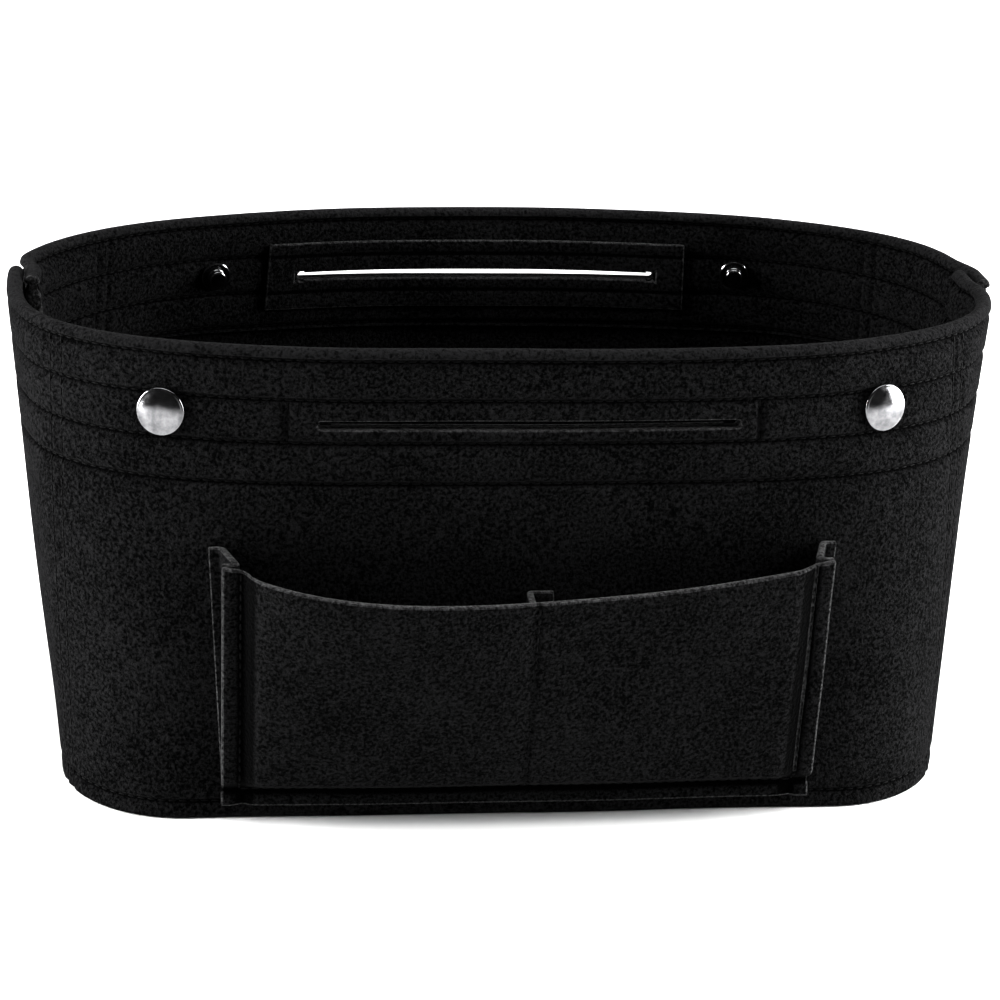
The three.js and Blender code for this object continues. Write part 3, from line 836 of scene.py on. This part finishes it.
xs = packed_steps(-pocket_half_width, pocket_half_width, panel_column, panel_fine_column,
                  panel_column, [-seam_x, divider_x, seam_x])
seam_share = (seam_z - web_foot) / (web_foot - pocket_foot)
below = packed_steps(-1, 0, *below_steps, [seam_share])
above = packed_steps(0, 1, *above_steps, [1])[1:]
shares = np.concatenate([below, above])
back = panel_points(xs, shares, 0, 0)
face = panel_points(xs, shares, felt_thickness, 1)
# Painted shade: the pocket panel is darkened in the valleys beside its side seams and along its
# foot seam.
shaded = [("X", seam_x - side_shade), ("Z", seam_z + foot_shade)]
panel_felt = felt_finish("pocket_felt", *felt_tones, felt_sheen, shaded, pocket_seam_reach)
panel = cut_sheet("pocket_panel_felt", face, back, panel_felt, panel_edge)
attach(panel, "pocket")
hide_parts("pocket_panel")


def strip_sides(line, thickness):
    steps = np.diff(line, axis=0)
    steps /= np.linalg.norm(steps, axis=1)[:, None]
    arrive = np.concatenate([steps[:1], steps])
    leave = np.concatenate([steps, steps[-1:]])
    miter = arrive + leave
    miter /= np.linalg.norm(miter, axis=1)[:, None]
    reach = thickness / 2 / np.sum(miter * leave, axis=1)
    side = np.stack([-miter[:, 1], miter[:, 0]], -1) * reach[:, None]
    return line + side, line - side


def rounded_line(corners, radius):
    line = [corners[0]]
    for before, corner, after in zip(corners, corners[1:], corners[2:]):
        start = corner + (before - corner) * radius / np.linalg.norm(before - corner)
        end = corner + (after - corner) * radius / np.linalg.norm(after - corner)
        for share in np.linspace(0, 1, web_bend_marks + 1):
            first = start + (corner - start) * share
            second = corner + (end - corner) * share
            line.append(first + (second - first) * share)
    line.append(corners[-1])
    return np.array(line)


def web_piece(name, across, top, body_finish):
    sides = ([], [])
    for height in np.linspace(web_foot, top, web_marks):
        wall_out, wall_root, panel_root, panel_out = across(height)
        on_wall = float(front_y(wall_root, height)) - seam_gap - web_felt / 2
        nearest = max(float(panel_back(x, height)) for x in (panel_root, panel_out))
        on_panel = nearest + seam_gap + web_felt / 2
        corners = [np.array(c) for c in ((wall_out, on_wall), (wall_root, on_wall),
                                         (panel_root, on_panel), (panel_out, on_panel))]
        shortest = min(np.linalg.norm(b - a) for a, b in zip(corners, corners[1:]))
        line = rounded_line(corners, min(web_bend, shortest / web_bend_limit))
        for side, points in zip(sides, strip_sides(line, web_felt)):
            side.append([(x, y, height) for x, y in points])
    face, back = (np.array(side) for side in sides)
    piece = cut_sheet(name + "_felt", face, back, body_finish, web_edge)
    foot, front = float(front_y(0, web_foot)), float(panel_back(seam_x, top))
    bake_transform(piece)
    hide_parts(name)
    top - web_foot


def side_web_line(side):
    def across(height):
        rise = (height - web_foot) / (pocket_top - web_foot)
        wall_out = pocket_half_width + web_spread * rise
        line = (wall_out, wall_out - web_flange, seam_x + web_felt / 2, pocket_half_width)
        return [side * x for x in line]
    return across


def divider_line(height):
    return (divider_x + divider_flange, divider_x, divider_x, divider_x - divider_flange)


web_piece("pocket_web_left", side_web_line(-1), pocket_top - seam_gap, wall_felt)
web_piece("pocket_web_right", side_web_line(1), pocket_top - seam_gap, wall_felt)
# The divider takes the darker inside felt, which is painted shade.
web_piece("pocket_divider", divider_line, panel_top(0) - divider_drop, shaded_inner_felt)


# Thread: black polyester lockstitch, about eight stitches to 25 mm. Every stitch lies sunk in
# the felt and dips at both ends, where it goes through.
stitch_pitch = 0.0031
stitch_half_length, stitch_radius = 0.0012, 0.0003
stitch_lift = 0.00012
stitch_marks = np.array([0.1, 0.5, 0.9])
outward_probe = 0.001
lap_gap, run_marks = 0.0006, 500
upright_foot, upright_drop = 0.001, 0.003
hem_run_foot, hem_run_clear = 0.002, 0.001
tall_marks, low_marks, hem_marks, box_marks = 120, 90, 60, 20
panel_run_drop, panel_foot_marks = 0.0015, 160
strand_noise, strand_relief = (3200, 2, 0.5), (0.5, 0.0002)
thread_stops = (0.35, (0.0003, 0.0003, 0.0003)), (0.7, (0.004, 0.004, 0.0042))

thread = Finish("black_thread", Roughness=0.7, Specular_IOR_Level=0.12)
strands = thread.noise(*strand_noise)
thread.set({"Base_Color": thread.ramp(strands, *thread_stops),
            "Normal": thread.bump(strands, *strand_relief)})

bm = bmesh.new()
bmesh.ops.create_uvsphere(bm, u_segments=6, v_segments=4, radius=1)
bmesh.ops.rotate(bm, cent=(0, 0, 0), matrix=Matrix.Rotation(math.pi / 2, 3, "Y"), verts=bm.verts)
bmesh.ops.scale(bm, vec=(stitch_half_length, stitch_radius, stitch_radius), verts=bm.verts)
stitch = mesh_from("stitch", bm)


def sew(name, body, lines):
    bm = bmesh.new()
    for points, outwards in lines:
        steps = np.linalg.norm(np.diff(points, axis=0), axis=1)
        reach = np.concatenate([[0], np.cumsum(steps)])
        count = int(reach[-1] // stitch_pitch)
        for number in range(count):
            marks = (number + stitch_marks) * reach[-1] / count
            start, middle, end = np.stack([np.interp(marks, reach, a) for a in points.T], -1)
            outward = Vector([np.interp(marks[1], reach, a) for a in outwards.T])
            along = Vector(end - start).normalized()
            beside = outward.cross(along).normalized()
            one = stitch.copy()
            one.transform(placing(middle, along, beside, along.cross(beside)))
            bm.from_mesh(one)
            bpy.data.meshes.remove(one)
    piece = finished(name, bm, thread, thread_smooth_below)
    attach(piece, body)


def wall_line(half, station, height, inner):
    station, height = (np.array(a, float) for a in np.broadcast_arrays(station, height))
    sunk = pressed(half, station, height) - stitch_lift
    tucked = tuck(half, station, height)
    if not inner:
        outward = wall_point(station, 0, height) - wall_point(station, outward_probe, height)
        return wall_point(station, tucked + sunk, height), outward / outward_probe
    inset = tucked + np.where(height > hem_height, hem_thickness, felt_thickness)
    x = plan(station, height)[:, 0]
    on_patch = (np.abs(x) < patch_half_length)
    on_patch &= np.abs(height - slot_height) < patch_half_height
    inset = inset + on_patch * (patch_thickness + seam_gap / 2)
    inward = wall_point(station, outward_probe, height) - wall_point(station, 0, height)
    return wall_point(station, inset - sunk, height), inward / outward_probe


for half, side_name in enumerate(half_names):
    clear = lap_end + lap_gap / half_length
    outer_run = np.linspace(half - lap_end, half + 1 - clear, run_marks)
    inner_run = np.linspace(half + clear, half + 1 + lap_end, run_marks)
    sew(side_name + "_band_thread", "shell",
        [wall_line(half, outer_run, row, False) for row in (*band_rows, foot_row)])
    sew(side_name + "_hem_thread", "shell",
        [wall_line(half, inner_run, row, True) for row in band_rows])
    tall = np.linspace(upright_foot, tub_height - upright_drop, tall_marks)
    uprights = [wall_line(half, station, tall, False) for station in wall_uprights[half]]
    uprights += [wall_line(half, half + share, tall, False) for share in (-lap_share, lap_share)]
    inner_hem = np.linspace(hem_height + hem_run_foot, tub_height - upright_drop, hem_marks)
    inner_low = np.linspace(base_lip + upright_foot, hem_height - hem_run_clear, low_marks)
    uprights += [wall_line(half, half + 1 + share, run, True)
                 for share in (-lap_share, lap_share) for run in (inner_hem, inner_low)]
    box_run = np.linspace(*slot_box[1], box_marks)
    uprights += [wall_line(half, station, box_run, inner)
                 for station in box_stations[half] for inner in (False, True)]
    inner_tall = np.linspace(slip_foot, hem_height - hem_run_clear, low_marks)
    uprights += [wall_line(half, station, inner_tall, True) for station in wall_uprights[half]]
    sew(side_name + "_upright_thread", "shell", uprights)


def panel_line(xs, heights):
    xs, heights = np.broadcast_arrays(np.array(xs, float), np.array(heights, float))
    y = np.array([float(panel_back(x, z)) for x, z in zip(xs, heights)]) - felt_thickness
    y += panel_sunk(xs, heights) - stitch_lift
    points = np.stack([xs, y, heights], -1)
    return points, np.broadcast_to(np.array([0.0, -1.0, 0.0]), points.shape)


side_run = np.linspace(seam_z, pocket_top - panel_run_drop, low_marks)
middle_run = np.linspace(seam_z, float(panel_top(0)) - panel_run_drop, low_marks)
foot_run = np.linspace(-seam_x, seam_x, panel_foot_marks)
sew("pocket_panel_thread", "pocket",
    [panel_line(-seam_x, side_run), panel_line(seam_x, side_run),
     panel_line(divider_x, middle_run), panel_line(foot_run, seam_z)])


# Snap fasteners: nickel-plated brass, four across the rim's long sides. A domed cap with a
# rolled edge shows outside. Its post is riveted inside to a socket with a ring spring, or to
# a stud on the rear wall.
cap_radius, cap_rise, cap_base = 0.007, 0.0023, -0.0001
bead_radius, bead_height, bead_from, bead_to, bead_marks = 0.0006, 0.0005, -0.2, 2.6, 9
dome_inset, dome_drop, dome_power, dome_marks = 0.0009, 0.00115, 2.4, 12
cap_mouth_inset = 0.0008
flare_round, flare_step, tip_round = 0.0001, 0.0002, 0.0003
post_radius, post_flare_radius, post_flare = 0.0016, 0.0022, 0.0007
snap_seat = 0.0004
inner_seat = snap_seat - hem_thickness - seam_gap
socket_radius, socket_height, socket_plate = 0.0059, 0.0033, 0.0008
socket_chamber, socket_mouth, socket_lip = 0.0037, 0.0030, 0.0005
plate_round, plate_draft, mouth_round = 0.0004, 0.0002, 0.0002
brim_inset, brim_drop = 0.0007, 0.0005
nose_insets, nose_rises = (0.0009, 0.0013, 0.0018), (0.0006, 0.0001, 0)
spring_wire, spring_marks = 0.0003, 9
stud_flange_radius, stud_flange = 0.0049, 0.0008
stud_neck, stud_head, stud_height, stud_shell = 0.0025, 0.0029, 0.0036, 0.0005
head_round, head_low_share, head_high_share = 0.0001, 1.6, 2.4
crown_inset, flange_fillet, flange_round = 0.0004, 0.0003, 0.0003
turned_edge, turned_steps, turned_merge = 0.00012, 72, 0.000002
nickel_stops = (0.3, (0.14, 0.14, 0.145)), (0.7, (0.28, 0.28, 0.285))
smear_noise, smear_relief = (420, 3, 0.6), (0.06, 0.0002)
nickel_roughness, smear_roughness = 0.08, 0.16

nickel = Finish("bright_nickel", Metallic=1)
smears = nickel.noise(*smear_noise)
nickel.set({"Base_Color": nickel.ramp(smears, *nickel_stops),
            "Roughness": smears * smear_roughness + nickel_roughness,
            "Normal": nickel.bump(smears, *smear_relief)})


def snap_place(half, x):
    station = float(station_at(half, x, snap_height))
    stations = np.array([station, station + probe / half_length, station])
    spots = wall_point(stations, 0, np.array([snap_height, snap_height, snap_height + probe]))
    origin, beside, above = (Vector(spot) for spot in spots)
    along = (beside - origin).normalized()
    out = along.cross(above - origin).normalized()
    return placing(origin, along, out.cross(along), out)


def turned(name, profile, place, node, closed=False, edge=turned_edge):
    bm = bmesh.new()
    verts = [bm.verts.new((radius, 0, height)) for radius, height in profile]
    edges = [bm.edges.new(pair) for pair in zip(verts, verts[1:])]
    if closed:
        edges.append(bm.edges.new((verts[-1], verts[0])))
    bmesh.ops.spin(bm, geom=[*verts, *edges], cent=(0, 0, 0), axis=(0, 0, 1),
                   angle=2 * math.pi, steps=turned_steps, use_merge=True)
    bmesh.ops.remove_doubles(bm, verts=bm.verts, dist=turned_merge)
    bmesh.ops.transform(bm, matrix=place, verts=bm.verts)
    piece = finished(name, bm, nickel, metal_smooth_below)
    if edge:
        bevel = piece.modifiers.new("rounding", "BEVEL")
        bevel.width = edge
        bevel.segments = 2
        bevel.limit_method = "ANGLE"
    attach(piece, "shell")
    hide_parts(node)


def cap_profile(grip):
    flare_top = -(hem_thickness - snap_seat) - 2 * seam_gap - grip
    flare_foot = flare_top - post_flare
    dome = [(share * (cap_radius - dome_inset), cap_rise - dome_drop * share ** dome_power)
            for share in np.linspace(0, 1, dome_marks)]
    bead_centre = cap_radius - bead_radius
    bead = [(bead_centre + bead_radius * math.sin(t), bead_height + bead_radius * math.cos(t))
            for t in np.linspace(bead_from, bead_to, bead_marks)]
    return [*dome, *bead, (cap_radius - cap_mouth_inset, cap_base), (post_radius, cap_base),
            (post_radius, flare_top), (post_flare_radius, flare_top - flare_round),
            (post_flare_radius, flare_foot + flare_step),
            (post_flare_radius - tip_round, flare_foot), (0, flare_foot)]


def socket_profile():
    plate, mouth = inner_seat - socket_plate, inner_seat - socket_height
    lip = mouth + socket_lip
    nose = [(socket_radius - inset, mouth + rise) for inset, rise in zip(nose_insets, nose_rises)]
    return [(post_radius + seam_gap, inner_seat), (socket_radius - plate_round, inner_seat),
            (socket_radius, inner_seat - plate_round), (socket_radius - plate_draft, plate),
            (socket_radius - brim_inset, plate - brim_drop), *nose,
            (socket_mouth + mouth_round, mouth), (socket_mouth, mouth + mouth_round),
            (socket_mouth, lip), (socket_chamber, lip), (socket_chamber, plate),
            (post_radius + seam_gap, plate)]


def stud_profile():
    flange, crown = inner_seat - stud_flange, inner_seat - stud_height
    bulge = stud_head - stud_neck
    well = crown + stud_shell
    bore = post_flare_radius + seam_gap / 2
    head = [(stud_head - head_round, crown + bulge), (stud_head, crown + head_low_share * bulge),
            (stud_head - head_round, crown + head_high_share * bulge)]
    return [(0, crown), (stud_neck - crown_inset, crown), (stud_neck, crown + head_round), *head,
            (stud_neck, flange - bulge), (stud_neck + flange_fillet, flange),
            (stud_flange_radius - plate_round, flange),
            (stud_flange_radius, inner_seat - plate_round),
            (stud_flange_radius - flange_round, inner_seat),
            (post_radius + seam_gap, inner_seat), (post_radius + seam_gap, flange),
            (bore, flange), (bore, well), (0, well)]


for half, side_name in enumerate(half_names):
    for side, end_name in ((-1, "left"), (1, "right")):
        name = f"{side_name}_{end_name}_snap_"
        place = snap_place(half, side * snap_half_spacings[half])
        grip = (socket_plate, stud_flange)[half]
        turned(name + "cap_metal", cap_profile(grip), place, name + "cap")
        if half == 1:
            turned(name + "stud_metal", stud_profile(), place, name + "stud")
            continue
        turned(name + "socket_metal", socket_profile(), place, name + "socket", closed=True)
        ring = socket_chamber - seam_gap - spring_wire
        height = inner_seat - socket_height + socket_lip + seam_gap + spring_wire
        wire = [(ring + spring_wire * math.cos(t), height + spring_wire * math.sin(t))
                for t in np.linspace(0, 2 * math.pi, spring_marks)[:-1]]
        turned(name + "spring_metal", wire, place, name + "spring", closed=True, edge=0)
